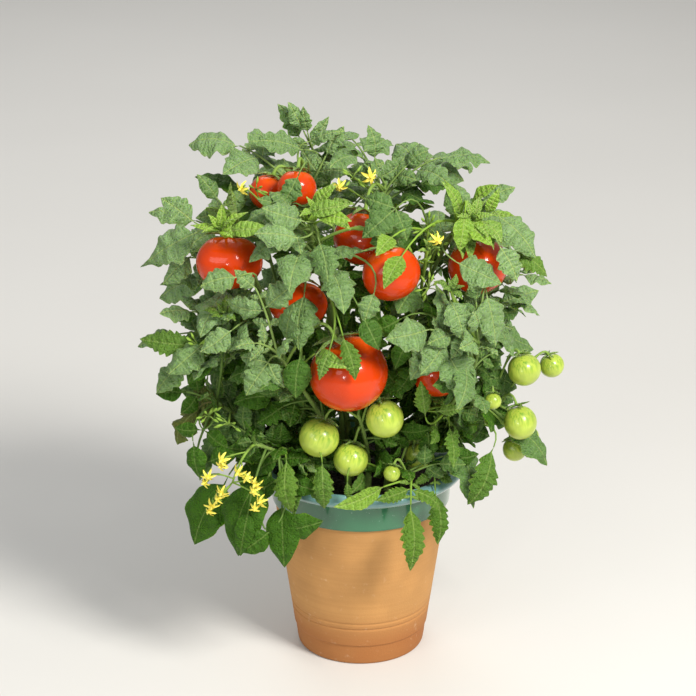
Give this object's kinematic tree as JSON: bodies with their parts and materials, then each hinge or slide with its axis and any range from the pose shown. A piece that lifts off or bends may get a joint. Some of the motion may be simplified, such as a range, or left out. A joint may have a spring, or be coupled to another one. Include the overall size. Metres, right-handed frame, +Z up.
{
  "type": "tomato plant in a pot",
  "caption": "Bush tomato plant with ripe and unripe fruit, yellow blooms and compound leaves, growing in a tapered clay pot with a rolled, glazed rim.",
  "frame": {"origin": "centre of the pot's foot, on the surface that it stands on", "axes": "+Z up along the pot's axis, -Y towards the front of the plant, +X to its right as seen from the front"},
  "size_m": [0.3977, 0.3084, 0.53],
  "materials": {
    "clay": "bare clay below a glazed blue-green rim",
    "peat": "crumbly and matt",
    "greenery": "soft, slightly hairy leaves and stems",
    "red_fruit": "smooth glossy skin",
    "green_fruit": "smooth glossy skin",
    "petal": "satin"
  },
  "bodies": {
    "root": {"pot": "clay", "soil": "peat", "stem_crown_left": "greenery", "stem_crown_centre": "greenery", "stem_back_high": "greenery", "stem_centre_front": "greenery", "stem_upper_right": "greenery", "stem_upper_left": "greenery", "stem_right_high": "greenery", "stem_mid_right": "greenery", "stem_right_low": "greenery", "stem_mid_left": "greenery", "stem_mid_front": "greenery", "stem_left_low": "greenery", "stem_front_left_low": "greenery", "stem_front_low": "greenery", "stem_front_right_low": "greenery", "stem_back_left": "greenery", "stem_back_middle": "greenery", "stem_back_right": "greenery", "tomato_red_crown_right": "red_fruit", "tomato_red_crown_left": "red_fruit", "tomato_red_upper_left": "red_fruit", "tomato_red_upper_middle": "red_fruit", "tomato_red_upper_front": "red_fruit", "tomato_red_upper_right": "red_fruit", "tomato_red_middle": "red_fruit", "tomato_red_front": "red_fruit", "tomato_red_right": "red_fruit", "tomato_green_front_left": "green_fruit", "tomato_green_front_middle": "green_fruit", "tomato_green_front_upper": "green_fruit", "tomato_green_front_right": "green_fruit", "tomato_green_front_small": "green_fruit", "tomato_green_side_upper": "green_fruit", "tomato_green_side_outer": "green_fruit", "tomato_green_side_lower": "green_fruit", "tomato_green_side_back": "green_fruit", "tomato_green_side_bottom": "green_fruit", "tomato_green_side_small": "green_fruit", "bloom_top_right": "petal", "bloom_top_left": "petal", "bloom_upper_left": "petal", "bloom_right": "petal", "bloom_spray_1": "petal", "bloom_spray_2": "petal", "bloom_spray_3": "petal", "bloom_spray_4": "petal", "bloom_spray_5": "petal", "bloom_spray_6": "petal", "bloom_spray_7": "petal"}
  },
  "joints": []
}
